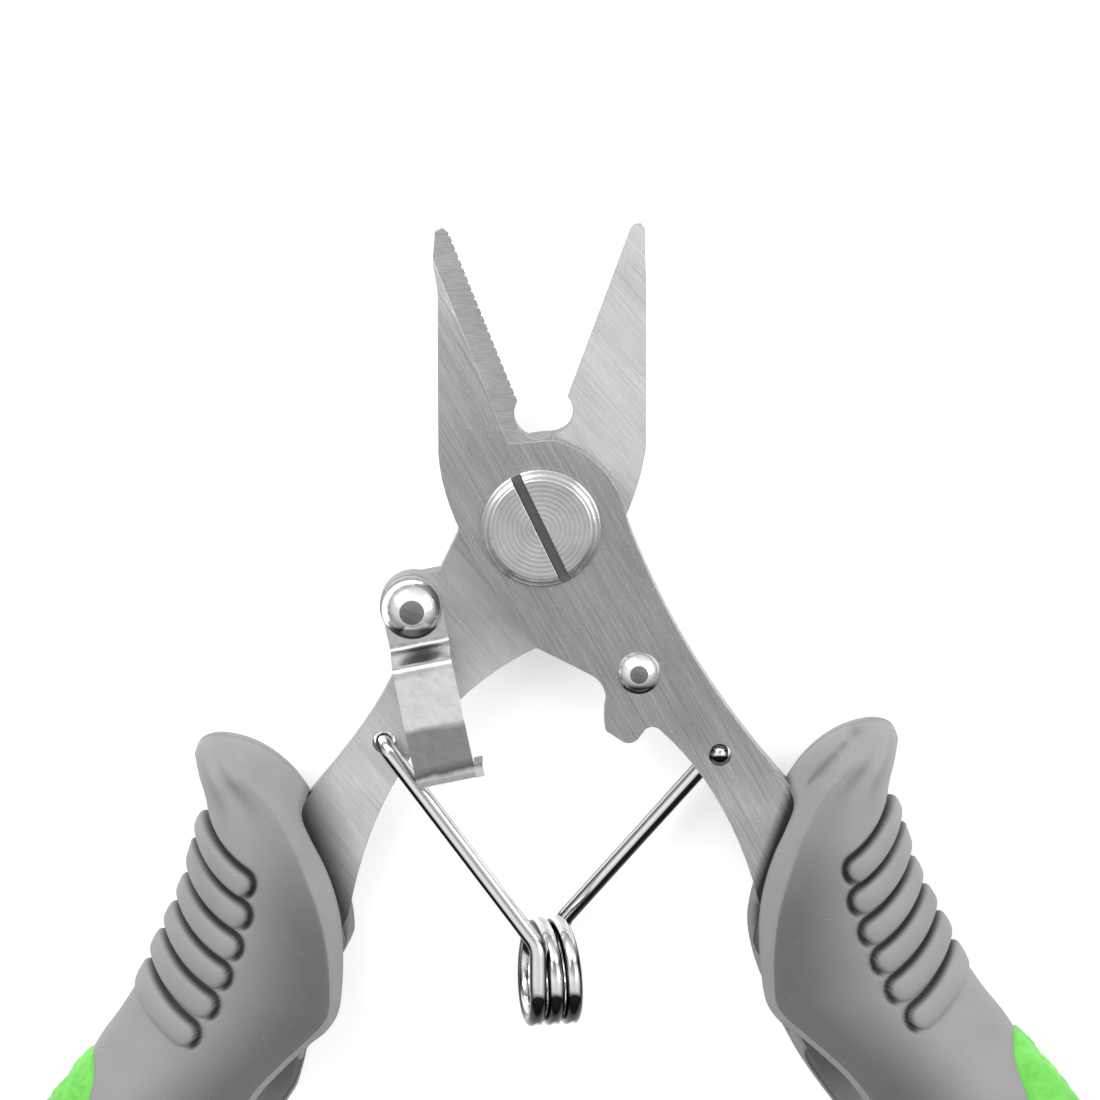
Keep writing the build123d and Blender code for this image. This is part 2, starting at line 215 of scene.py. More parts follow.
REAR_EDGE = [(24.5, -28.6), (24.6, -31.0), (23.4, -33.6), (22.2, -36.4), (21.0, -39.0),
             (20.1, -42.0), (19.9, -45.2), (20.3, -48.4), (21.0, -51.2), (21.7, -53.0),
             (22.4, -55.2), (23.6, -58.0), (25.9, -62.0), (31.5, -70.0), (39.0, -81.0),
             (44.5, -90.5), (48.3, -97.2), (50.0, -98.6)]
HORN_TOP = [(24.5, -28.6), (26.3, -26.4), (28.5, -24.6), (30.6, -23.5), (32.7, -22.9),
            (34.6, -22.8), (36.0, -23.4), (36.6, -24.8)]
TAIL_END = [(50.0, -98.6), (51.2, -99.5), (52.4, -99.6), (53.0, -99.3)]
LAST = len(CREASE) - 1
HORN_FADE = 3.2             # stations over which the horn's round top straightens out
HORN_ROUND, TAIL_ROUND = 4.6, 5.0

HORN_SEAM = [(36.0, -22.0), (34.6, -21.9), (32.6, -23.0), (30.2, -24.9), (28.3, -26.7),
             (26.9, -28.2)]
SEAM_HALF = 0.2             # half the seam's width, twice that where it meets the lever
SEAM_SHADE, SEAM_SUNK = 0.5, 0.3

RIBS_TO = 11.0              # station below the last rib
RIB_ROWS, TAIL_ROWS = 330, 70
BAND_COLS, FACE_COLS, ROUND_COLS = 9, 36, 60
FLAT_SHARE = 0.42           # share of the face's width before it starts to round over
STATIONS = np.r_[np.linspace(0, RIBS_TO, RIB_ROWS, endpoint=False),
                 np.linspace(RIBS_TO, LAST, TAIL_ROWS)]
GRIP_WALL = 1.3

# ---- thumb ribs ----
RIB_ENDS = [(31.8, -37.4), (32.2, -40.8), (33.2, -44.2), (34.4, -47.4), (35.8, -50.6),
            (37.8, -53.7)]
RIB_STARTS = [(37.4, -30.2), (38.2, -33.7), (39.4, -36.8), (40.7, -39.6), (42.1, -42.6),
              (43.6, -45.7)]
RIB_R, RIB_RISE = 1.22, 0.45
GROOVE_W, GROOVE_DEPTH = 0.72, 0.95
RIB_BOW = 0.62              # how much of its drop a rib has made a quarter of the way in


def rib_line(i):
    """Middle of a thumb rib, from beyond the outer edge round to its inner end."""
    (x0, y0), (x2, y2) = RIB_STARTS[i], RIB_ENDS[i]
    x1, y1 = x0 - 0.25 * (x0 - x2), y0 + RIB_BOW * (y2 - y0)
    t = np.linspace(0, 1, 24)[:, None]
    first, middle, last = np.array(((x0, y0), (x1, y1), (x2, y2)))
    return (1 - t)**2 * first + 2 * t * (1 - t) * middle + t**2 * last


def rib_height(points):
    """How far the ribs and their grooves lift or sink the surface at these XY points.

    The second result is 1 in the bottom of a groove and 0 away from it.
    """
    height = np.zeros(len(points))
    sunk = np.zeros(len(points))
    for i in range(len(RIB_ENDS)):
        line = rib_line(i)
        best = np.full(len(points), 1e9)
        upper = np.zeros(len(points))
        for a, b in zip(line[:-1], line[1:]):
            run = b - a
            share = np.clip(((points - a) @ run) / (run @ run), 0, 1)
            off = points - (a + share[:, None] * run)
            gap = np.linalg.norm(off, axis=1)
            side = run[0] * off[:, 1] - run[1] * off[:, 0]
            near = gap < best
            best[near] = gap[near]
            upper[near] = (side / (np.linalg.norm(run) * np.maximum(gap, 1e-6)))[near]
        crown = np.clip(1 - (best / (RIB_R + 0.15))**2, 0, 1)
        height += RIB_RISE * np.sqrt(crown)
        middle = RIB_R + GROOVE_W / 2
        groove = np.exp(-((best - middle) / (0.42 * GROOVE_W))**2)
        groove *= smoothstep(-0.9, -0.1, -upper)
        height -= GROOVE_DEPTH * groove
        # The groove mask carries painted shade into the grooves.
        sunk = np.maximum(sunk, np.clip(1.7 * groove, 0, 1))
    return height, sunk


def seam_depth(points):
    """SEAM_SHADE along the parting line on the right horn, wider where it meets the lever."""
    line = rail(HORN_SEAM, np.linspace(0, len(HORN_SEAM) - 1, 60))
    share = np.linspace(0, 1, len(line))
    reach = SEAM_HALF * (1 + np.exp(-((share - 0.8) / 0.14)**2))
    gaps = np.linalg.norm(points[:, None, :] - line[None, :, :], axis=2)
    return SEAM_SHADE * np.exp(-(gaps / reach[None, :])**2).max(axis=1)


def handle_columns():
    """Shares across a handle half: 0 at the finger-side edge, 1 at the crease, 2 outside."""
    flat = np.linspace(1, 1 + FLAT_SHARE, FACE_COLS, endpoint=False)
    turn = np.linspace(0, math.pi / 2, ROUND_COLS)
    over = 1 + FLAT_SHARE + (1 - FLAT_SHARE) * np.sin(turn)
    return np.r_[np.linspace(0, 1, BAND_COLS, endpoint=False), flat, over]


COLUMNS = handle_columns()


def across(edge, crease, outer, cols):
    """XY points of a grid between three curves that run down the handle."""
    low = np.clip(cols, 0, 1)[None, :, None]
    high = np.clip(cols - 1, 0, 1)[None, :, None]
    return (edge[:, None] * (1 - low) + crease[:, None] * (low - high) + outer[:, None] * high)


def edge_heights(rear, lever_in_front):
    """Height of the finger-side edge at each station."""
    if not rear:
        return [4.3] * 6 + [4.4, 4.7, 5.3] + [5.9] * (LAST - 8)
    mouth = 0.4 if lever_in_front else 3.0
    return [mouth] * 6 + [3.4, 4.8, 6.0, 6.2, 6.2, 6.0, 4.6] + [3.0] * (LAST - 12)


def half_surface(rear, lever_in_front, ribs=True, places=None, cols=None):
    """Grid of points (rows, columns, 3) over one half of the right-hand grip, front side up."""
    places = STATIONS if places is None else places
    cols = COLUMNS if cols is None else cols
    edge = rail(REAR_EDGE if rear else FRONT_EDGE, places)
    crease = rail(CREASE, places)
    if rear:
        crease = edge + (rail(OUTER_EDGE, places) - edge) * 0.2
    outer = rail(OUTER_EDGE, places)
    plan = across(edge, crease, outer, cols)
    first = across(edge[:1], crease[:1], outer[:1], cols)[0] if places[0] == 0 else None
    gap_top = None
    if first is not None:
        arc_share = np.where(cols < 1, 0.72 * cols, 0.72 + 0.28 * (cols - 1))
        top = polyline_at(HORN_TOP, arc_share)
        end = polyline_at(TAIL_END, cols / 2)
        last = across(edge[-1:], crease[-1:], outer[-1:], cols)[0]
        fade = (np.clip(1 - places / HORN_FADE, 0, 1)**2)[:, None, None]
        plan = plan + (top - first)[None] * fade
        tail_fade = (np.clip(1 - (LAST - places) / 1.0, 0, 1)**2)[:, None, None]
        plan = plan + (end - last)[None] * tail_fade
        gap_top = np.linalg.norm(plan - top[None], axis=2)
        gap_end = np.linalg.norm(plan - end[None], axis=2)
    low_z = np.interp(places, range(LAST + 1), edge_heights(rear, lever_in_front))
    crease_z = np.full(len(places), 6.9 if rear else 6.45)
    face = FACE_Z if rear else FACE_Z - 0.15
    share = np.clip(cols, 0, 1)[None, :]
    flat = np.clip((cols - 1) / FLAT_SHARE, 0, 1)[None, :]
    height = low_z[:, None] * (1 - share) + crease_z[:, None] * share
    if rear:
        rounded = np.sqrt(np.clip(1 - (1 - share)**2, 0, 1))
        height = low_z[:, None] + (crease_z - low_z)[:, None] * rounded
    height = np.where(cols[None, :] > 1, crease_z[:, None] + (face - crease_z[:, None])
                      * smoothstep(0, 1, flat), height)
    turn = np.clip((cols - 1 - FLAT_SHARE) / (1 - FLAT_SHARE), 0, 1)[None, :]
    height = height * np.sqrt(np.clip(1 - turn**2, 0, 1))
    if not rear:
        on_horn = 1 - smoothstep(1.5, 4.4, places)[:, None]
        across_face = np.clip(cols - 1, 0, 1)[None, :]
        height = height - 0.9 * on_horn * np.exp(-((across_face - 0.42) / 0.2)**2)
    if gap_top is not None:
        def rounding(gap, radius):
            return np.sqrt(np.clip(1 - (1 - np.clip(gap / radius, 0, 1))**2, 0, 1))
        height = height * rounding(gap_top, HORN_ROUND) * rounding(gap_end, TAIL_ROUND)
    grid = np.dstack([plan, height])
    if ribs:
        rows_, cols_ = grid.shape[:2]
        down = np.gradient(grid, axis=0)
        over = np.gradient(grid, axis=1)
        normal = np.cross(over, down)
        normal *= np.sign(normal[rows_ // 2, cols_ // 3, 2]) or 1
        normal /= np.maximum(np.linalg.norm(normal, axis=2, keepdims=True), 1e-9)
        lift, sunk = rib_height(grid[:, :, :2].reshape(-1, 2))
        grid = grid + normal * lift.reshape(rows_, cols_)[:, :, None]
        grid[:, -1, 2] = 0
        return grid, sunk
    return grid


def grid_faces(rows_, cols_, wrap=False):
    index = np.arange(rows_ * cols_).reshape(rows_, cols_)
    if wrap:
        index = np.hstack([index, index[:, :1]])
    a, b = index[:-1, :-1].ravel(), index[:-1, 1:].ravel()
    c, d = index[1:, 1:].ravel(), index[1:, :-1].ravel()
    return np.stack([a, b, c, d], axis=1)


def place(points, side):
    """Right-hand handle points put on their own side of the tool."""
    pts = np.array(points, float).reshape(-1, 3)
    if side == "left":
        return pts * (-1, 1, 1)
    turn = math.radians(GRIP_SPREAD)
    x = pts[:, 0] * math.cos(turn) - pts[:, 1] * math.sin(turn)
    y = pts[:, 0] * math.sin(turn) + pts[:, 1] * math.cos(turn)
    return np.stack([x, y, pts[:, 2]], axis=1)


BODY = {"left": "rear_half", "right": "front_half"}
# The round hollow in the left handle, the ring outside it that gives way, and its height.
HOLLOW_AT, HOLLOW_R, HOLLOW_KEEP = np.array((-13.6, -57.0)), 10.8, 3.0
HOLLOW_FULL, HOLLOW_END = 6.0, 6.6


def clear_of_coil(points):
    """Left handle points pressed back out of the round hollow where the coil lies when shut."""
    pts = np.array(points, float).reshape(-1, 3)
    away = pts[:, :2] - HOLLOW_AT
    reach = np.linalg.norm(away, axis=1)
    inside = (reach < HOLLOW_R + HOLLOW_KEEP) & (np.abs(pts[:, 2]) < HOLLOW_END)
    if inside.any():
        least = min(HOLLOW_R, reach[inside].min())
        share = HOLLOW_KEEP / (HOLLOW_R + HOLLOW_KEEP - least)
        pressed = HOLLOW_R + (reach - least) * share
        amount = (1 - smoothstep(HOLLOW_FULL, HOLLOW_END, np.abs(pts[:, 2]))) * inside
        pts[:, :2] += away * (amount * (pressed / reach - 1))[:, None]
    return pts


def shell_faces(rows_, cols_):
    """Faces of a closed shell whose vertices are an outer grid and then an inner one."""
    top = grid_faces(rows_, cols_)
    n = rows_ * cols_
    index = np.arange(n).reshape(rows_, cols_)
    ring = np.r_[index[0, :], index[1:, -1], index[-1, -2::-1], index[-2:0:-1, 0]]
    nxt = np.roll(ring, -1)
    rim = np.stack([ring, ring + n, nxt + n, nxt], axis=1)
    return np.vstack([top, top[:, ::-1] + n, rim])


def closed_shell(grid, depth):
    """Vertices and faces of a closed shell: the grid, a copy sunk below it, and the rims."""
    rows_, cols_ = grid.shape[:2]
    normal = np.cross(np.gradient(grid, axis=1), np.gradient(grid, axis=0))
    if normal[rows_ // 2, cols_ // 3, 2] < 0:
        normal = -normal
    normal /= np.maximum(np.linalg.norm(normal, axis=2, keepdims=True), 1e-9)
    under = grid - normal * depth
    under[:, :, 2] = np.maximum(under[:, :, 2], np.minimum(grid[:, :, 2], 0.0))
    verts = np.vstack([grid.reshape(-1, 3), under.reshape(-1, 3)])
    return verts, shell_faces(rows_, cols_)


def grip_half(side, rear):
    part = "rear" if rear else "front"
    grid, sunk = half_surface(rear, lever_in_front=(side == "right"))
    if side == "right" and not rear:
        seam = seam_depth(grid[:, :, :2].reshape(-1, 2))
        sunk = np.maximum(sunk, seam)
        inner = grid[:, :-1, 2]
        inner -= SEAM_SUNK * seam.reshape(grid.shape[:2])[:, :-1] * (inner > 1.0)
    verts, faces = closed_shell(grid, GRIP_WALL)
    if rear:
        verts = verts * (1, 1, -1)
    verts = place(verts, side)
    if side == "left" and rear:
        verts = clear_of_coil(verts)
    piece = add_piece(f"{side}_grip_{part}_moulding", verts, faces, BODY[side],
                      [f"{side}_grip_{part}"])
    outward(piece)
    places, cols = STATIONS[:, None], COLUMNS[None, :]
    # Painted shade: the "face" attribute is 1 along the crease and the face beside it, less up the
    # horn; the rubber is painted darker there.
    face = (smoothstep(0.86, 1.03, cols) * (1 - 0.9 * smoothstep(1.08, 1.7, cols))
            * (0.12 + 0.88 * smoothstep(1.2, 6.0, places)))
    for label, values in (("sunk", sunk), ("face", face.ravel())):
        made = piece.data.attributes.new(label, "FLOAT", "POINT")
        made.data.foreach_set("value", np.r_[values, values].astype(np.float32))
    return piece


# ---- cores ----
CORE_FROM, CORE_TO = 4.6, 16.2
CORE_ROWS, CORE_WALL = 150, 14
CORE_START = 2.4            # how deep the core starts under the grip before it shows
CORE_HOLLOW, CORE_CROWN = 3.9, 0.7
CORE_DEPTH, CORE_LOW, CORE_HIGH = 7.5, -5.4, 4.9


def handle_core(side):
    """Hard core seen in the scoop along the finger side, hollowed where the coil lies when shut."""
    places = np.linspace(CORE_FROM, CORE_TO, CORE_ROWS)
    rim = rail(FRONT_EDGE, places)
    sill = rail(REAR_EDGE, places)
    outer = rail(OUTER_EDGE, places)
    inward = outer - rim
    width = np.linalg.norm(inward, axis=1, keepdims=True)
    inward /= width
    sunk_in = CORE_START * (1 - smoothstep(CORE_FROM, CORE_FROM + 2.2, places))[:, None]
    rim = rim + inward * (0.25 + sunk_in)
    sill = sill + inward * (0.3 + sunk_in)
    rim_z = np.interp(places, range(LAST + 1), edge_heights(False, side == "right")) - 0.35
    sill_z = -np.interp(places, range(LAST + 1), edge_heights(True, side == "right")) + 0.15
    hollow = (smoothstep(5.6, 7.2, places) * (1 - smoothstep(11.2, 13.0, places)))[:, None]
    rows_ = []
    for v in np.linspace(0, 1, CORE_WALL):
        level = rim_z + (sill_z - rim_z) * v
        bow = math.sin(math.pi * v)
        depth = hollow * CORE_HOLLOW * bow - (1 - hollow) * CORE_CROWN * bow
        flat = rim * (1 - v) + sill * v + inward * depth
        rows_.append(np.column_stack([flat, level]))
    deep = rim + inward * np.minimum(CORE_DEPTH, 0.5 * width)
    rows_.append(np.column_stack([deep, np.maximum(CORE_LOW, sill_z)]))
    rows_.append(np.column_stack([deep, np.minimum(CORE_HIGH, rim_z)]))
    grid = np.stack(rows_, axis=1)
    count = grid.shape[1]
    faces = [list(f) for f in grid_faces(CORE_ROWS, count, wrap=True)]
    faces.append(list(range(count))[::-1])
    faces.append([(CORE_ROWS - 1) * count + i for i in range(count)])
    verts = place(grid.reshape(-1, 3), side)
    if side == "left":
        verts = clear_of_coil(verts)
    piece = add_piece(f"{side}_core_moulding", verts, faces,
                      BODY[side], [f"{side}_handle_core"])
    outward(piece)
    return piece


# ---- inlays ----
INLAY_TOP, INLAY_BOTTOM = 10.7, 16.3
INLAY_SHARE = [(10.7, 0.995), (11.3, 0.93), (12.0, 0.86), (13.0, 0.74), (14.0, 0.62),
               (15.0, 0.62), (15.8, 0.78), (16.3, 0.99)]
INLAY_ROWS, INLAY_COLS = 210, 30
INLAY_RISE, INLAY_LUMPS = 0.42, 0.22
INLAY_PROUD, INLAY_SET_IN = 0.02, 0.7   # least height above the grip, and depth into it


def inlay(side):
    """Green strip wrapped round the outer side of a handle, lumpy on its face."""
    places = np.linspace(INLAY_TOP, INLAY_BOTTOM, INLAY_ROWS)
    border = np.interp(places, *zip(*INLAY_SHARE))
    steps = np.linspace(0, 1, INLAY_COLS)
    rows_ = []
    for at_place, start in zip(places, border):
        shares = 1 + start + (1 - start) * np.sin(steps * math.pi / 2)
        one = np.array([at_place])
        front = half_surface(False, side == "right", False, one, shares)[0]
        back = half_surface(True, side == "right", False, one, shares)[0] * (1, 1, -1)
        rows_.append(np.vstack([front, back[-2::-1]]))
    grid = np.stack(rows_)
    normal = np.cross(np.gradient(grid, axis=1), np.gradient(grid, axis=0))
    if normal[INLAY_ROWS // 2, 2, 2] < 0:
        normal = -normal
    normal /= np.maximum(np.linalg.norm(normal, axis=2, keepdims=True), 1e-9)
    around = np.linspace(-1, 1, grid.shape[1])[None, :]
    edge_in = 1 - smoothstep(0.9, 1.0, np.abs(around))
    ends = smoothstep(INLAY_TOP, INLAY_TOP + 0.25, places) * (
        1 - smoothstep(INLAY_BOTTOM - 0.25, INLAY_BOTTOM, places))
    lumps = np.array([[noise.noise(Vector(p) * 0.75) + 0.6 * noise.noise(Vector(p) * 1.9)
                       for p in line] for line in grid])
    rise = (INLAY_RISE + INLAY_LUMPS * lumps) * edge_in * ends[:, None] + INLAY_PROUD
    outer = grid + normal * rise[:, :, None]
    inner = grid - normal * INLAY_SET_IN
    verts = np.vstack([outer.reshape(-1, 3), inner.reshape(-1, 3)])
    piece = add_piece(f"{side}_inlay_moulding", place(verts, side),
                      shell_faces(*grid.shape[:2]), BODY[side],
                      [f"{side}_inlay"])
    outward(piece)
    return piece


# ---- spring ----
WIRE_R = 0.9
COIL_R, COIL_PITCH, COIL_TURNS = 5.0, 1.95, 2.5
COIL_X, COIL_Y = 0.95, -48.6
COIL_YAW = math.radians(13.0)
COIL_HALF = COIL_PITCH * COIL_TURNS / 2
ARM_LEAD, ARM_BEND, ARM_OVER = 4.1, 2.6, 1.15
LEFT_EYE, RIGHT_EYE = (-16.56, -23.58), (18.84, -24.42)
LEFT_TAIL, RIGHT_TAIL = -3.7, 2.2       # heights of the wire's two ends
EYE_BEND = 1.6
WIRE_SIDES = 20


def rounded_corner(a, corner, b, radius, steps=12):
    """Points of the arc that rounds the corner between a and b."""
    a, corner, b = (np.array(p, float) for p in (a, corner, b))
    u, v = (a - corner), (b - corner)
    u /= np.linalg.norm(u)
    v /= np.linalg.norm(v)
    half = math.acos(float(np.clip(u @ v, -1, 1))) / 2
    centre = corner + (u + v) / np.linalg.norm(u + v) * radius / math.sin(half)
    start, end = corner + u * radius / math.tan(half), corner + v * radius / math.tan(half)
    p, q = start - centre, end - centre
    span = math.acos(float(np.clip(p @ q / radius**2, -1, 1)))
    return [centre + (p * math.sin(span * (1 - t)) + q * math.sin(span * t)) / math.sin(span)
            for t in np.linspace(0, 1, steps)]


def in_coil(along, up, out):
    """A point given from the coil's middle, along its axis, up the tool and out to the front."""
    return np.array((COIL_X + along * math.cos(COIL_YAW) + out * math.sin(COIL_YAW),
                     COIL_Y + up, out * math.cos(COIL_YAW) - along * math.sin(COIL_YAW)))


def straight(a, b, steps):
    """Points between a and b, without the ends."""
    return [a + (b - a) * t for t in np.linspace(0, 1, steps + 2)[1:-1]]


def arm(tail, top, corner, end):
    """Points of one arm, from its tail through its eye and over its lower bend to the coil."""
    eye = rounded_corner(tail, top, corner, EYE_BEND)
    elbow = rounded_corner(top, corner, end, ARM_BEND)
    return ([np.array(tail, float)] + eye + straight(eye[-1], elbow[0], 10) + elbow
            + straight(elbow[-1], end, 4))


def spring_path():
    """Middle of the wire: through the left eye, down, round the coil and up to the right eye."""
    points = arm((*LEFT_EYE, LEFT_TAIL), (*LEFT_EYE, ARM_OVER),
                 in_coil(-COIL_HALF, ARM_LEAD, COIL_R), in_coil(-COIL_HALF, 0, COIL_R))
    for turn in np.linspace(0, COIL_TURNS, 120):
        angle = 2 * math.pi * turn
        points.append(in_coil(COIL_PITCH * turn - COIL_HALF, -COIL_R * math.sin(angle),
                              COIL_R * math.cos(angle)))
    points += arm((*RIGHT_EYE, RIGHT_TAIL), (*RIGHT_EYE, -ARM_OVER),
                  in_coil(COIL_HALF, ARM_LEAD, -COIL_R), in_coil(COIL_HALF, 0, -COIL_R))[::-1]
    return np.array(points)


def swept_wire(path, radius, sides):
    tangent = np.gradient(path, axis=0)
    tangent /= np.linalg.norm(tangent, axis=1, keepdims=True)
    side = np.cross(tangent[0], (1, 0, 0))
    rings = []
    for point, along in zip(path, tangent):
        side = side - along * (side @ along)
        side /= np.linalg.norm(side)
        up = np.cross(along, side)
        angles = np.linspace(0, 2 * math.pi, sides, endpoint=False)
        rings.append([point + radius * (math.cos(a) * side + math.sin(a) * up) for a in angles])
    rings = np.array(rings)
    faces = [list(f) for f in grid_faces(len(path), sides, wrap=True)]
    faces.append(list(range(sides))[::-1])
    faces.append([(len(path) - 1) * sides + i for i in range(sides)])
    return rings.reshape(-1, 3), faces


def return_spring():
    verts, faces = swept_wire(spring_path(), WIRE_R, WIRE_SIDES)
    piece = add_piece("return_spring", verts, faces, None,
                      ["spring_left_arm", "spring_coil", "spring_right_arm"])
    outward(piece)
    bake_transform(piece)
    return piece


# ---- materials ----
def grey(value):
    return (value, value, value * 1.005)


def set_stops(ramp, stops):
    """Give a colour ramp these (place, colour) stops."""
    while len(ramp.elements) < len(stops):
        ramp.elements.new(1.0)
    for element, (at, colour) in zip(ramp.elements, stops):
        element.position = at
        element.color = (*colour, 1)


class Nodes:
    """Short calls for building one material."""

    def __init__(self, name):
        self.material = bpy.data.materials.new(name)
        self.material.use_nodes = True
        self.tree = self.material.node_tree
        self.shader = self.tree.nodes["Principled BSDF"]

    def node(self, kind, **values):
        made = self.tree.nodes.new(kind)
        for key, value in values.items():
            if key in made.inputs:
                made.inputs[key].default_value = value
            else:
                setattr(made, key, value)
        return made

    def link(self, source, target):
        self.tree.links.new(source, target)

    def coordinates(self, turn=0.0, scale=(1, 1, 1), about=(0, 0, 0)):
        """Object coordinates, moved to a point, turned about Z and stretched."""
        texture = self.node("ShaderNodeTexCoord")
        moved = self.node("ShaderNodeMapping")
        moved.inputs["Location"].default_value = tuple(-v for v in about)
        turned = self.node("ShaderNodeMapping")
        turned.inputs["Rotation"].default_value = (0, 0, math.radians(turn))
        sized = self.node("ShaderNodeMapping")
        sized.inputs["Scale"].default_value = scale
        self.link(texture.outputs["Object"], moved.inputs["Vector"])
        self.link(moved.outputs["Vector"], turned.inputs["Vector"])
        self.link(turned.outputs["Vector"], sized.inputs["Vector"])
        return sized.outputs["Vector"]

    def noise(self, vector, scale, detail=3.0, rough=0.55):
        made = self.node("ShaderNodeTexNoise", Scale=scale, Detail=detail, Roughness=rough)
        self.link(vector, made.inputs["Vector"])
        return made.outputs["Fac"]

    def ramp(self, value, low, high, at=(0.0, 1.0)):
        made = self.node("ShaderNodeValToRGB")
        set_stops(made.color_ramp, list(zip(at, (low, high))))
        self.link(value, made.inputs["Fac"])
        return made.outputs["Color"]

    def tones(self, value, stops):
        """A ramp of greys through (place, tone) stops."""
        made = self.node("ShaderNodeValToRGB")
        set_stops(made.color_ramp, [(at, grey(tone)) for at, tone in stops])
        self.link(value, made.inputs["Fac"])
        return made.outputs["Color"]

    def times(self, first, second):
        made = self.node("ShaderNodeMix", data_type="RGBA", blend_type="MULTIPLY")
        made.inputs["Factor"].default_value = 1.0
        self.link(first, made.inputs["A"])
        self.link(second, made.inputs["B"])
        return made.outputs["Result"]

    def span(self, value, low, high, source=(0.0, 1.0)):
        made = self.node("ShaderNodeMapRange")
        made.inputs["From Min"].default_value, made.inputs["From Max"].default_value = source
        made.inputs["To Min"].default_value = low
        made.inputs["To Max"].default_value = high
        self.link(value, made.inputs["Value"])
        return made.outputs["Result"]

    def bump(self, height, strength, distance, under=None):
        made = self.node("ShaderNodeBump", Strength=strength, Distance=distance)
        self.link(height, made.inputs["Height"])
        if under is not None:
            self.link(under, made.inputs["Normal"])
        return made.outputs["Normal"]


def brushed_steel(name, light, dark, turn, rough=(0.26, 0.42), deep=1.0, shade=None, along=None):
    """Plate steel with fine scratches that run at one angle, and a few small nicks.

    shade is the line of the grip's mouth, as two points, and how far its shadow reaches;
    along gives painted light and shade at heights on the tool, from the tail up.
    """
    m = Nodes(name)
    fine = m.noise(m.coordinates(turn, (140, 9000, 900)), 1.0, 4.0, 0.8)
    coarse = m.noise(m.coordinates(turn + 1.5, (60, 3600, 500)), 1.0, 2.0, 0.6)
    cloud = m.noise(m.coordinates(turn, (90, 170, 90)), 1.0, 3.0)
    nicks = m.noise(m.coordinates(turn + 34, (1900, 5200, 900)), 1.0, 1.0)
    base = m.times(m.ramp(fine, grey(dark), grey(light), (0.3, 0.7)),
                   m.ramp(cloud, grey(0.88), grey(1.0), (0.35, 0.65)))
    base = m.times(base, m.ramp(coarse, grey(0.86), grey(1.0), (0.3, 0.45)))
    if shade:
        (x0, y0), (x1, y1), reach = shade
        across = m.coordinates(90 - math.degrees(math.atan2(y1 - y0, x1 - x0)), (1, 1, 1),
                               tuple(row((x0, y0, 0))))
        split = m.node("ShaderNodeSeparateXYZ")
        m.link(across, split.inputs["Vector"])
        near = m.span(split.outputs["X"], 0.0, 1.0, (-0.3 * MM, reach * MM))
        base = m.times(base, m.ramp(near, grey(0.16), grey(1.0)))
    # Painted light and shade: bands of tone down the lever in place of what the steel reflects.
    if along:
        split = m.node("ShaderNodeSeparateXYZ")
        m.link(m.coordinates(0, (1, 1, 1), tuple(PIVOT)), split.inputs["Vector"])
        low, high = along[0][0], along[-1][0]
        height = m.span(split.outputs["Y"], 0.0, 1.0, (low * MM, high * MM))
        base = m.times(base, m.tones(height, [((at - low) / (high - low), tone)
                                              for at, tone in along]))
    m.link(base, m.shader.inputs["Base Color"])
    m.shader.inputs["Metallic"].default_value = 1.0
    m.link(m.span(fine, *rough), m.shader.inputs["Roughness"])
    first = m.bump(fine, 0.3 * deep, 0.00008)
    second = m.bump(coarse, 0.2 * deep, 0.00005, first)
    spots = m.ramp(nicks, grey(0.0), grey(1.0), (0.66, 0.74))
    m.link(m.bump(spots, 0.3 * deep, 0.00004, second), m.shader.inputs["Normal"])
    return m.material


def turned_steel(name, centre):
    """Steel faced on a lathe: fine rings round its own axis."""
    m = Nodes(name)
    place_ = m.coordinates(0, (1, 1, 0), tuple(centre))
    rings = m.node("ShaderNodeTexWave", wave_type="RINGS", rings_direction="SPHERICAL")
    for key, value in (("Scale", 620.0), ("Distortion", 0.6), ("Detail", 2.0), ("Detail Scale", 1.2)):
        rings.inputs[key].default_value = value
    m.link(place_, rings.inputs["Vector"])
    cloud = m.noise(m.coordinates(0, (300, 300, 300)), 1.0, 3.0)
    m.link(m.ramp(cloud, grey(0.5), grey(0.66), (0.3, 0.7)), m.shader.inputs["Base Color"])
    m.shader.inputs["Metallic"].default_value = 1.0
    m.link(m.span(rings.outputs["Fac"], 0.2, 0.36), m.shader.inputs["Roughness"])
    m.link(m.bump(rings.outputs["Fac"], 0.3, 0.00006), m.shader.inputs["Normal"])
    return m.material


def polished(name, tone, rough, specks=0.15, under=None):
    """Bright metal with faint rubbing marks; under is its tone where it faces down the tool, a
    painted dark reflection.
    """
    m = Nodes(name)
    rub = m.noise(m.coordinates(20, (500, 1500, 800)), 1.0, 3.0)
    base = m.ramp(rub, grey(tone * 0.86), grey(tone), (0.35, 0.6))
    # Painted reflection: faces that turn down the tool are darkened.
    if under is not None:
        texture = m.node("ShaderNodeTexCoord")
        split = m.node("ShaderNodeSeparateXYZ")
        m.link(texture.outputs["Normal"], split.inputs["Vector"])
        faced = m.span(split.outputs["Y"], 0.0, 1.0, (-1.0, 1.0))
        base = m.times(base, m.tones(faced, [(0.0, under), (0.24, under), (0.3, 1.0), (1.0, 1.0)]))
    m.link(base, m.shader.inputs["Base Color"])
    m.shader.inputs["Metallic"].default_value = 1.0
    m.link(m.span(rub, rough * 0.6, rough * 1.5), m.shader.inputs["Roughness"])
    m.link(m.bump(rub, specks, 0.00002), m.shader.inputs["Normal"])
    return m.material


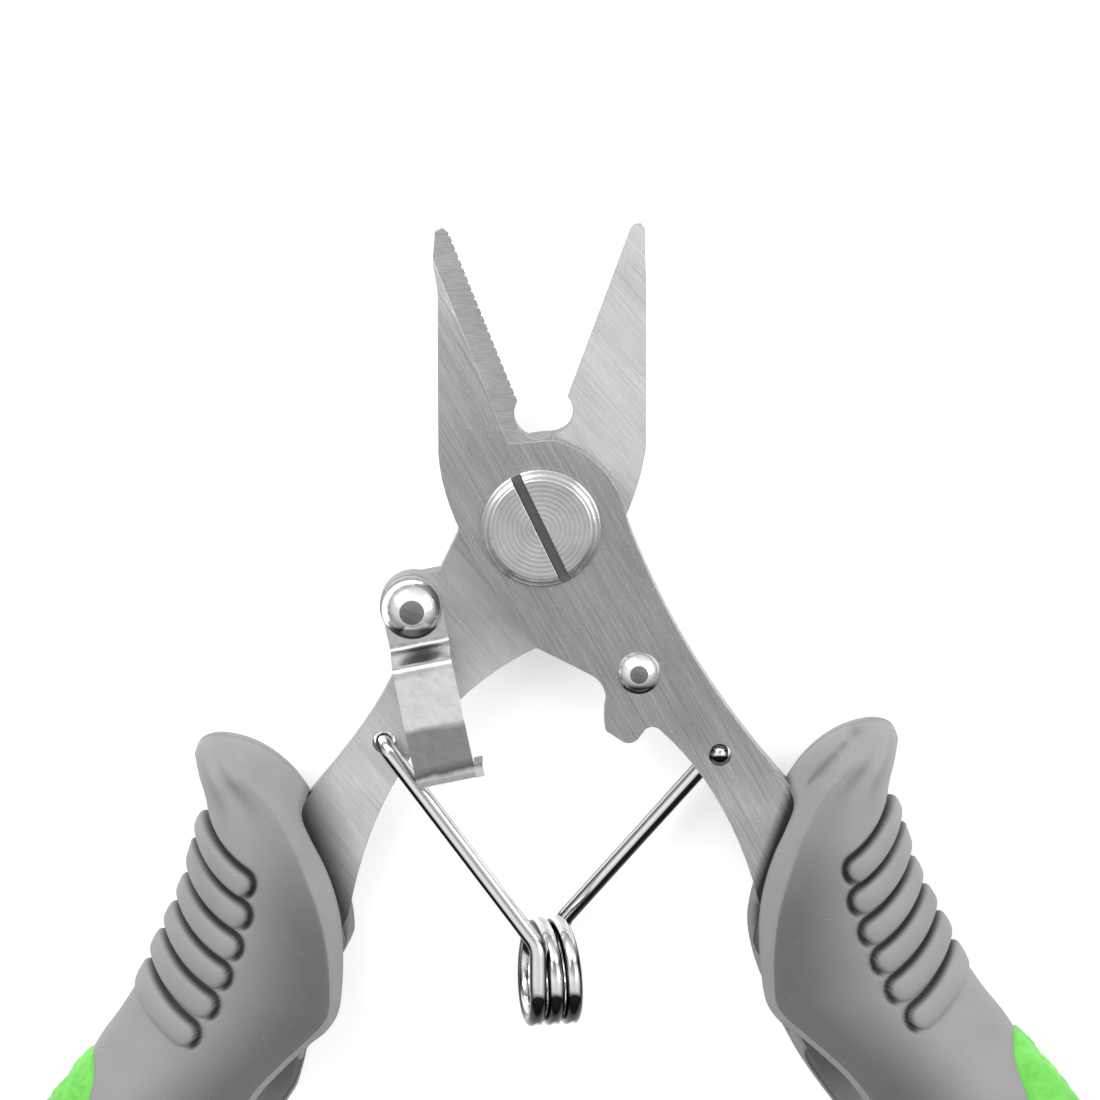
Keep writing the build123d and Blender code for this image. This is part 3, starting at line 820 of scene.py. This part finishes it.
def wire_steel(name):
    """Bright drawn wire with painted reflections: light and dark bands set by which way it faces."""
    m = Nodes(name)
    texture = m.node("ShaderNodeTexCoord")
    split = m.node("ShaderNodeSeparateXYZ")
    m.link(texture.outputs["Normal"], split.inputs["Vector"])
    # Painted reflections, from the direction of the surface's normal.
    across = m.tones(m.span(split.outputs["X"], 0.0, 1.0, (-1.0, 1.0)), [
        (0.0, 0.04), (0.1, 0.04), (0.15, 1.0), (0.85, 1.0), (0.9, 0.04), (1.0, 0.04)])
    down = m.tones(m.span(split.outputs["Y"], 0.0, 1.0, (-1.0, 1.0)), [
        (0.0, 0.9), (0.07, 0.7), (0.12, 0.03), (0.39, 0.03), (0.43, 1.0), (0.54, 1.0),
        (0.61, 0.42), (0.69, 0.16), (0.74, 0.85), (0.93, 0.8), (1.0, 0.4)])
    m.link(m.times(across, down), m.shader.inputs["Base Color"])
    rub = m.noise(m.coordinates(20, (500, 1500, 800)), 1.0, 3.0)
    m.shader.inputs["Metallic"].default_value = 1.0
    m.link(m.span(rub, 0.1, 0.2), m.shader.inputs["Roughness"])
    return m.material


def strap_steel(name, start, lean, stops):
    """Polished spring steel whose tone changes along the strap, in painted reflections:
    light and dark bands where its bends face the studio differently.

    stops are distances in millimetres from the rivet, start, down the strap, with a tone each.
    """
    m = Nodes(name)
    split = m.node("ShaderNodeSeparateXYZ")
    m.link(m.coordinates(-lean, (1, 1, 1), tuple(row(start))), split.inputs["Vector"])
    far = stops[-1][0]
    along = m.span(split.outputs["Y"], 0.0, 1.0, (0.0, -far * MM))
    wander = m.noise(m.coordinates(0, (500, 500, 500)), 1.0, 3.0)
    shifted = m.node("ShaderNodeMath", operation="MULTIPLY_ADD")
    m.link(wander, shifted.inputs[0])
    shifted.inputs[1].default_value = 0.05
    m.link(along, shifted.inputs[2])
    # Painted reflections: the tone stops down the strap.
    tones = m.tones(shifted.outputs["Value"], [(at / far, tone) for at, tone in stops])
    rub = m.noise(m.coordinates(20, (900, 1500, 800)), 1.0, 3.0)
    m.link(m.times(tones, m.ramp(rub, grey(0.9), grey(1.0), (0.35, 0.6))),
           m.shader.inputs["Base Color"])
    m.shader.inputs["Metallic"].default_value = 1.0
    m.link(m.span(rub, 0.24, 0.34), m.shader.inputs["Roughness"])
    m.link(m.bump(rub, 0.12, 0.00002), m.shader.inputs["Normal"])
    return m.material


def moulded(name, dark, light, rough, grain, deep, spread=(0.35, 0.65), sunk=0.0, face=1.0):
    """Soft or hard moulding: cloudy tone, fine grain and scattered specks of dust.

    sunk is the tone of the painted shade in the grooves and along the seam, where the mesh's own
    "sunk" attribute is 1, and face how much darker the face beside the crease is painted, as
    painted shade, where its "face" attribute is 1.
    """
    m = Nodes(name)
    cloud = m.noise(m.coordinates(0, (90, 90, 90)), 1.0, 4.0)
    fine = m.noise(m.coordinates(0, (grain, grain, grain)), 1.0, 3.0, 0.6)
    dust = m.noise(m.coordinates(0, (3600, 3600, 3600)), 1.0, 1.0)
    base = m.ramp(cloud, dark, light, spread)
    if face != 1:
        # Painted shade beside the crease, read from the "face" attribute.
        face_shade = m.node("ShaderNodeAttribute", attribute_name="face")
        base = m.times(base, m.span(face_shade.outputs["Fac"], 1.0, face))
    # Painted shade in the grooves and along the seam, where the "sunk" attribute is 1.
    if sunk:
        shade = m.node("ShaderNodeAttribute", attribute_name="sunk")
        shaded = m.node("ShaderNodeMix", data_type="RGBA", blend_type="MIX")
        m.link(shade.outputs["Fac"], shaded.inputs["Factor"])
        m.link(base, shaded.inputs["A"])
        shaded.inputs["B"].default_value = (*grey(sunk), 1)
        base = shaded.outputs["Result"]
    mix = m.node("ShaderNodeMix", data_type="RGBA", blend_type="ADD")
    m.link(m.ramp(dust, grey(0.0), grey(0.07), (0.7, 0.8)), mix.inputs["B"])
    m.link(base, mix.inputs["A"])
    mix.inputs["Factor"].default_value = 1.0
    m.link(mix.outputs["Result"], m.shader.inputs["Base Color"])
    m.link(m.span(fine, rough - 0.07, rough + 0.07), m.shader.inputs["Roughness"])
    m.shader.inputs["Specular IOR Level"].default_value = 0.4
    m.link(m.bump(fine, deep, 0.00008), m.shader.inputs["Normal"])
    return m.material


def dress(piece, material):
    piece.data.materials.clear()
    piece.data.materials.append(material)


SLOT_REACH = 5.2            # the slot's own walls lie within this distance of the screw's axis


def darken_slot(piece, material):
    """Give the faces inside the screw's slot their own darker material, painted shade in the slot."""
    piece.data.materials.append(material)
    top = max(v.co.z for v in piece.data.vertices)
    for face in piece.data.polygons:
        out = (face.center - Vector(PIVOT)) / MM
        if face.center.z < top - 0.05 * MM and face.center.z > top - 0.85 * MM:
            wall = abs(face.normal.z) < 0.01 and out.xy.length < SLOT_REACH
            if face.normal.z > FLAT_TILT or wall:
                face.material_index = 1


# ---- the object ----
MOUTH = [(25.6, -29.5, 0), (20.7, -42.1, 0)]   # top and foot of the front half's edge at the lever
LEFT_MOUTH, RIGHT_MOUTH = (place(MOUTH, side)[:, :2] for side in ("left", "right"))
LATCH = (-13.55, -9.1, 0)
LATCH_LEAN = 11.5           # degrees that the strap leans from straight down

# Each lever: the mouth line gives a painted shadow, the last list painted light and shade down it.
FRONT_STEEL = brushed_steel("front_lever_steel", 0.8, 0.46, 60, (0.28, 0.44), 1.0,
                            (RIGHT_MOUTH[1], RIGHT_MOUTH[0], -1.4),
                            [(-45, 0.6), (-30, 0.86), (-22, 0.62), (0, 0.62), (9, 0.66), (27, 1.0)])
REAR_STEEL = brushed_steel("rear_lever_steel", 0.88, 0.66, 49, (0.3, 0.46), 0.8,
                           (LEFT_MOUTH[1], LEFT_MOUTH[0], 4.2),
                           [(-45, 1.0), (-22, 1.0), (-16, 0.82), (-10, 0.62), (-2, 0.62),
                            (6, 0.96), (35, 1.0)])
BEVEL_STEEL = brushed_steel("ground_bevel_steel", 0.42, 0.27, 8, (0.3, 0.42), 0.7)
# Plate sides: darker steel, partly their sheared finish and partly painted shade; the rear lever's
# rounded edges take it too, as a painted dark outline.
SIDE_SHADE_STEEL = polished("sheared_side_and_shade_steel", 0.34, 0.4, 0.2)
# Painted highlight: the front lever's rounded edges get brighter steel than its faces.
EDGE_HIGHLIGHT = polished("edge_highlight_steel", 1.0, 0.35, 0.05)
# The strap's tones are painted reflections down its length.
STRAP_STEEL = strap_steel("strap_steel", LATCH, LATCH_LEAN, [
    (0.0, 0.62), (3.9, 0.62), (4.3, 0.3), (5.6, 0.42), (7.0, 0.92), (10.6, 0.97), (12.2, 1.0),
    (12.9, 0.4), (16.6, 0.42), (17.6, 0.2), (18.1, 0.85), (19.5, 0.8)])
SCREW_STEEL = turned_steel("pivot_screw_steel", PIVOT)
# Painted shade for the inside of the screw's slot.
SLOT_SHADE_STEEL = polished("slot_shade_steel", 0.16, 0.5)
# The rivets' sides that face down the tool are painted dark, a painted reflection.
RIVET_STEEL = polished("rivet_steel", 0.95, 0.14, 0.15, 0.12)
# Painted reflection: the rivets' flat tops get dark steel.
RIVET_TOP_REFLECTION = polished("rivet_top_reflection_steel", 0.2, 0.5, 0.4)
WIRE_STEEL = wire_steel("wire_steel")
# The rubber's sunk tone is painted shade in the grooves and the seam; its face tone is painted shade
# beside the crease.
RUBBER = moulded("grip_rubber", grey(0.25), grey(0.285), 0.56, 1500, 0.18, sunk=0.035, face=0.38)
CORE = moulded("core_plastic", grey(0.06), grey(0.085), 0.42, 900, 0.08)
GREEN = moulded("inlay_rubber", (0.1, 0.46, 0.05), (0.17, 0.6, 0.09), 0.5, 1300, 0.3, (0.4, 0.6))

METAL = [
    ("front_lever", "front_half", "lever_steel", 0.12,
     (FRONT_STEEL, SIDE_SHADE_STEEL, BEVEL_STEEL, EDGE_HIGHLIGHT)),
    ("rear_lever", "rear_half", "lever_steel", 0.1, (REAR_STEEL, SIDE_SHADE_STEEL, None, SIDE_SHADE_STEEL)),
    ("pivot_screw", "rear_half", "turned_steel", 0.08, (SCREW_STEEL, None, None, None)),
    ("pivot_washer", "rear_half", "turned_steel", 0.05, (SCREW_STEEL, None, None, None)),
    ("pivot_nut", "rear_half", "turned_steel", 0.12, (SCREW_STEEL, None, None, None)),
    ("latch_strap", "latch", "strap_steel", 0.14, (STRAP_STEEL, None, None, None)),
    ("latch_rivet", "rear_half", "polished_rivet", 0.05, (RIVET_STEEL, None, RIVET_TOP_REFLECTION, None)),
    ("latch_washer", "rear_half", "polished_rivet", 0.05, (RIVET_STEEL, None, None, None)),
    ("stop_rivet", "front_half", "polished_rivet", 0.05, (RIVET_STEEL, None, RIVET_TOP_REFLECTION, None)),
    ("stop_collar", "front_half", "turned_steel", 0.08, (RIVET_STEEL, None, None, None)),
]
for node, body, slot, width, materials in METAL:
    piece = finish_edges(f"{node}_finished", node, body, width, materials)
    if node == "pivot_screw":
        darken_slot(piece, SLOT_SHADE_STEEL)

for side in ("left", "right"):
    for rear in (False, True):
        dress(grip_half(side, rear), RUBBER)
    dress(handle_core(side), CORE)
    dress(inlay(side), GREEN)
dress(return_spring(), WIRE_STEEL)


# ---- floor, light and camera ----
def floor():
    mesh = bpy.data.meshes.new("floor")
    corners = [(-1.5, -1.5, 0), (1.5, -1.5, 0), (1.5, 1.5, 0), (-1.5, 1.5, 0)]
    mesh.from_pydata(corners, [], [(0, 1, 2, 3)])
    piece = bpy.data.objects.new("floor", mesh)
    piece.location.z = cad_low.z - 0.0003
    bpy.context.scene.collection.objects.link(piece)
    m = Nodes("floor")
    m.shader.inputs["Base Color"].default_value = (0.93, 0.93, 0.93, 1)
    m.shader.inputs["Roughness"].default_value = 0.9
    m.shader.inputs["Emission Color"].default_value = (1, 1, 1, 1)
    m.shader.inputs["Emission Strength"].default_value = 0.3
    dress(piece, m.material)


def area_light(name, spot, aim, size, power):
    data = bpy.data.lights.new(name, "AREA")
    data.shape = "RECTANGLE"
    data.size, data.size_y = size
    data.energy = power
    lamp = bpy.data.objects.new(name, data)
    lamp.location = spot
    lamp.rotation_euler = (Vector(aim) - Vector(spot)).to_track_quat("-Z", "Y").to_euler()
    bpy.context.scene.collection.objects.link(lamp)


def sky():
    """Pale studio: a dark patch overhead, a bright ring round it, dimmer below the tool."""
    world = bpy.data.worlds.new("studio")
    bpy.context.scene.world = world
    world.use_nodes = True
    tree = world.node_tree
    coords = tree.nodes.new("ShaderNodeTexCoord")
    split = tree.nodes.new("ShaderNodeSeparateXYZ")
    ring = tree.nodes.new("ShaderNodeValToRGB")
    stops = [(0.0, 0.25), (0.3, 0.7), (0.62, 1.0), (0.86, 1.0), (0.95, 0.85), (1.0, 0.8)]
    set_stops(ring.color_ramp, [(at, (tone, tone, tone)) for at, tone in stops])
    side = tree.nodes.new("ShaderNodeMapRange")
    for key, value in (("From Min", -0.9), ("From Max", 0.35), ("To Min", 0.3), ("To Max", 1.0)):
        side.inputs[key].default_value = value
    both = tree.nodes.new("ShaderNodeMix")
    both.data_type, both.blend_type = "RGBA", "MULTIPLY"
    both.inputs["Factor"].default_value = 1.0
    tree.links.new(coords.outputs["Generated"], split.inputs["Vector"])
    tree.links.new(split.outputs["Z"], ring.inputs["Fac"])
    tree.links.new(split.outputs["Y"], side.inputs["Value"])
    tree.links.new(ring.outputs["Color"], both.inputs["A"])
    tree.links.new(side.outputs["Result"], both.inputs["B"])
    background = tree.nodes["Background"]
    tree.links.new(both.outputs["Result"], background.inputs["Color"])
    background.inputs["Strength"].default_value = 1.15


floor()
sky()
area_light("key", (-0.35, 0.45, 0.5), (0, 0.03, 0), (0.6, 0.5), 3.2)
area_light("fill", (0.45, 0.2, 0.45), (0, 0.03, 0), (0.5, 0.5), 1.8)

TILT = math.radians(11.5)   # the camera leans this far towards the jaw tips from straight above
DISTANCE = 0.700
AIM = Vector(row((0.945, -2.90, 0)))
FIELD = 0.1155              # metres across the picture at that distance
data = bpy.data.cameras.new("camera")
camera = bpy.data.objects.new("camera", data)
camera.location = AIM + DISTANCE * Vector((0, math.sin(TILT), math.cos(TILT)))
camera.rotation_euler = (-TILT, 0, 0)
data.sensor_width = 36.0
data.lens = data.sensor_width * DISTANCE / FIELD
data.clip_start, data.clip_end = 0.01, 10
bpy.context.scene.collection.objects.link(camera)
bpy.context.scene.camera = camera
bpy.context.scene.view_settings.view_transform = "Standard"
